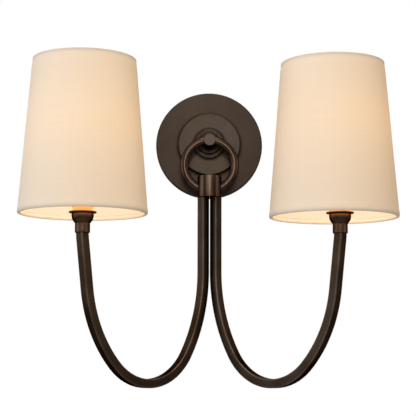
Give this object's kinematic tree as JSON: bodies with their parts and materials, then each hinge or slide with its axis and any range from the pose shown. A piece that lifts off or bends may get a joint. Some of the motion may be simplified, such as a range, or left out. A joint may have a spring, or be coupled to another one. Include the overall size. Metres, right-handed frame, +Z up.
{
  "type": "double arm wall sconce",
  "caption": "Wall light with a round stepped backplate, a ring and collar, U-shaped square arms, and tapered shades on candle sockets.",
  "frame": {"origin": "centre of the backplate on the wall surface, which is the centre of the crossbar's slot pattern", "axes": "+Z up, +X to the right of someone who faces the wall, +Y into the wall, -Y out of the wall towards the viewer"},
  "size_m": [0.3832, 0.2281, 0.3319],
  "materials": {
    "bronze": "satin dark oil-rubbed bronze",
    "zinc_steel": "zinc plated",
    "ground_green": "satin green",
    "wire_insulation": "smooth",
    "socket_phenolic": "moulded",
    "brass": "bright",
    "candle_sleeve": "satin ivory",
    "bulb_insulator": "glassy black",
    "bulb_glass": "frosted",
    "bulb_filament": "clear",
    "shade_fabric": "plain weave, off-white",
    "shade_liner": "smooth translucent",
    "frame_wire": "plated wire"
  },
  "bodies": {
    "fixture": {"backplate": "bronze", "boss": "bronze", "collar": "bronze", "collar_plug": "zinc_steel", "ground_screw": "ground_green", "left_arm": "bronze", "left_candle_sleeve": "candle_sleeve", "left_cup": "bronze", "left_cup_nut": "zinc_steel", "left_cup_stud": "zinc_steel", "left_ferrule": "bronze", "left_socket_body": "socket_phenolic", "left_socket_bracket": "zinc_steel", "left_socket_contact": "brass", "left_socket_shell": "brass", "left_wire": "wire_insulation", "lock_washer": "zinc_steel", "mounting_crossbar": "zinc_steel", "nipple_nut": "zinc_steel", "post": "bronze", "raised_disc": "bronze", "right_arm": "bronze", "right_candle_sleeve": "candle_sleeve", "right_cup": "bronze", "right_cup_nut": "zinc_steel", "right_cup_stud": "zinc_steel", "right_ferrule": "bronze", "right_socket_body": "socket_phenolic", "right_socket_bracket": "zinc_steel", "right_socket_contact": "brass", "right_socket_shell": "brass", "right_wire": "wire_insulation", "ring": "bronze", "threaded_nipple": "zinc_steel"},
    "left_bulb": {"left_bulb_contact": "brass", "left_bulb_insulator": "bulb_insulator", "left_bulb_cap": "brass", "left_bulb_glass": "bulb_glass", "left_bulb_stem": "bulb_filament"},
    "right_bulb": {"right_bulb_contact": "brass", "right_bulb_insulator": "bulb_insulator", "right_bulb_cap": "brass", "right_bulb_glass": "bulb_glass", "right_bulb_stem": "bulb_filament"},
    "left_shade": {"left_shade_fabric": "shade_fabric", "left_shade_liner": "shade_liner", "left_shade_bottom_hoop": "frame_wire", "left_shade_top_hoop": "frame_wire", "left_shade_spider": "frame_wire", "left_bulb_clip": "frame_wire"},
    "right_shade": {"right_shade_fabric": "shade_fabric", "right_shade_liner": "shade_liner", "right_shade_bottom_hoop": "frame_wire", "right_shade_top_hoop": "frame_wire", "right_shade_spider": "frame_wire", "right_bulb_clip": "frame_wire"}
  },
  "joints": [
    {"name": "left_bulb_screw", "type": "hinge", "parent": "fixture", "child": "left_bulb", "pos_m": [-0.12919, -0.16264, -0.0443], "axis": [0, 0, 1], "range_deg": [0, 1440]},
    {"name": "left_shade_lift", "type": "slide", "parent": "left_bulb", "child": "left_shade", "axis": [0, 0, 1], "range_m": [0, 0.15]},
    {"name": "right_bulb_screw", "type": "hinge", "parent": "fixture", "child": "right_bulb", "pos_m": [0.12919, -0.16264, -0.0443], "axis": [0, 0, 1], "range_deg": [0, 1440]},
    {"name": "right_shade_lift", "type": "slide", "parent": "right_bulb", "child": "right_shade", "axis": [0, 0, 1], "range_m": [0, 0.15]}
  ]
}
